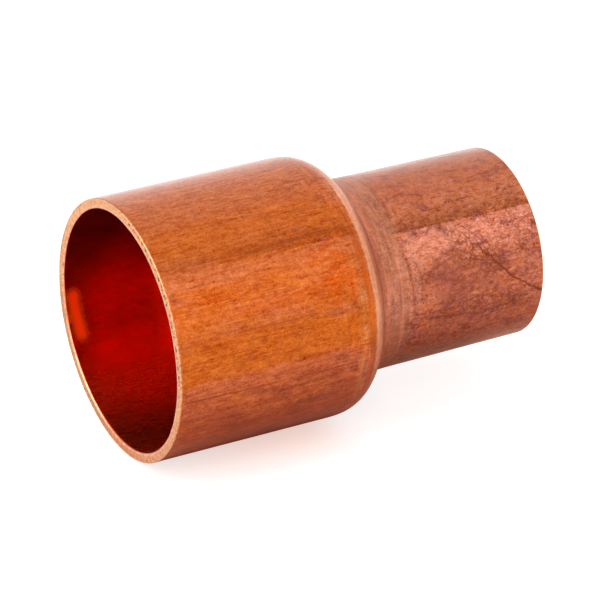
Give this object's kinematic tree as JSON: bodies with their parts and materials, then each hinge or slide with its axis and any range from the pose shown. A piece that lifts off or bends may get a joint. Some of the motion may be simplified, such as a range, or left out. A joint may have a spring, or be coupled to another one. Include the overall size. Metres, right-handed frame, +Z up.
{
  "type": "concentric reducer",
  "caption": "Copper solder-joint concentric reducer: a large round tube socket that necks down through a rounded shoulder to a smaller round socket.",
  "frame": {"origin": "centre of the large mouth, in the plane of its cut face", "axes": "+X along the fitting's axis from the large mouth to the small mouth; +Z up as the fitting lies on its large barrel; +Y completes the right-handed frame"},
  "size_m": [0.0389, 0.0242, 0.0242],
  "materials": {
    "copper": "satin drawn copper, lightly tarnished, with a bright cut edge at the mouths"
  },
  "bodies": {
    "root": {"reducer_body": "copper"}
  },
  "joints": []
}
